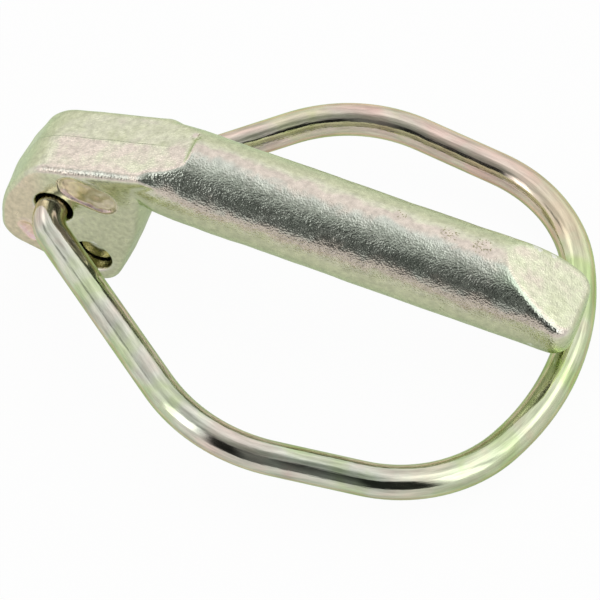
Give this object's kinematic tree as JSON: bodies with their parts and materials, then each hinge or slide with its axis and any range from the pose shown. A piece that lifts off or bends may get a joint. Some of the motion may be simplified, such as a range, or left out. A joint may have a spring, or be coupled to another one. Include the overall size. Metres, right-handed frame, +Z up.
{
  "type": "lynch pin",
  "caption": "Lynch pin: forged round pin with a hanging flat head and a sprung wire ring that snaps under the tip to lock it.",
  "frame": {"origin": "middle of the bounding box, on the surface that the closed pin lies on", "axes": "+X along the pin towards its tip, +Z up, and the ring's near leg, in the upper hole, towards -Y"},
  "size_m": [0.0648, 0.049, 0.0212],
  "materials": {
    "forged_zinc": "rough forging, zinc plated and yellow passivated",
    "wire_zinc": "smooth drawn wire, zinc plated and yellow passivated"
  },
  "bodies": {
    "pin": {"forged_pin": "forged_zinc"},
    "ring": {"spring_ring": "wire_zinc"}
  },
  "joints": [
    {"name": "ring_swing", "type": "hinge", "parent": "pin", "child": "ring", "pos_m": [-0.02325, 0.0019, 0.00805], "axis": [0, 1, 0], "range_deg": [0, 180], "deforming": ["spring_ring"]}
  ]
}
